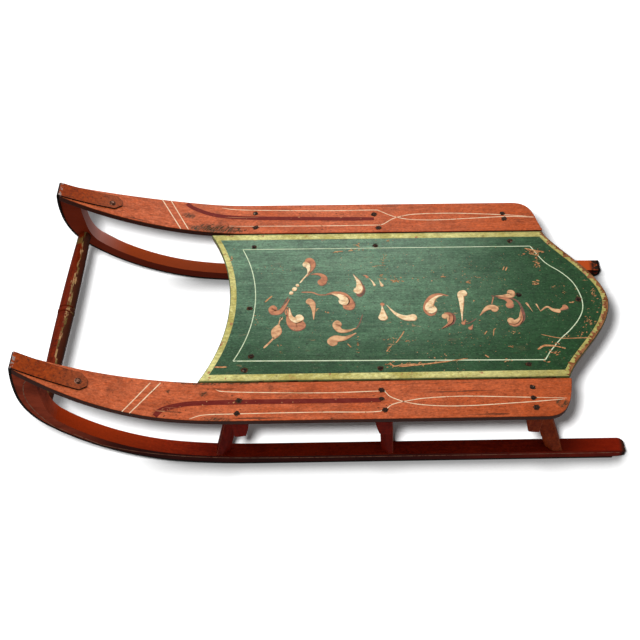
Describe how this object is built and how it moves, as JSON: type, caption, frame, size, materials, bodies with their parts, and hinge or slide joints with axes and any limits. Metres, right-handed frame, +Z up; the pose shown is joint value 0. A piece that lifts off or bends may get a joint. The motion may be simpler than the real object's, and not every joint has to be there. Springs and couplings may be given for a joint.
{
  "type": "child's coasting sled",
  "caption": "Painted wooden child's sled: flat seat board between two bent rails, on raked knees and deep-nosed iron-shod runners with a turned front rung.",
  "frame": {"origin": "on the ground under the middle of the sled's box", "axes": "-X towards the noses, the way it travels; +X towards the heels; -Y its left side; +Z up"},
  "size_m": [0.837, 0.3824, 0.224],
  "materials": {
    "seat_paint": "green oil paint, worn",
    "rail_paint": "orange-red oil paint over wood, worn",
    "runner_paint": "dark red oil paint, worn",
    "knee_paint": "red-brown oil paint, worn",
    "bench_paint": "red-brown oil paint, worn",
    "rung_paint": "red oil paint worn to the wood",
    "shoe_iron": "black iron, painted over on the straps"
  },
  "bodies": {
    "root": {"seat_board": "seat_paint", "left_rail": "rail_paint", "right_rail": "rail_paint", "left_runner": "runner_paint", "right_runner": "runner_paint", "left_shoe": "shoe_iron", "right_shoe": "shoe_iron", "front_rung": "rung_paint", "front_bench": "bench_paint", "middle_bench": "bench_paint", "rear_bench": "bench_paint", "left_front_knee": "knee_paint", "left_middle_knee": "knee_paint", "left_rear_knee": "knee_paint", "right_front_knee": "knee_paint", "right_middle_knee": "knee_paint", "right_rear_knee": "knee_paint"}
  },
  "joints": []
}
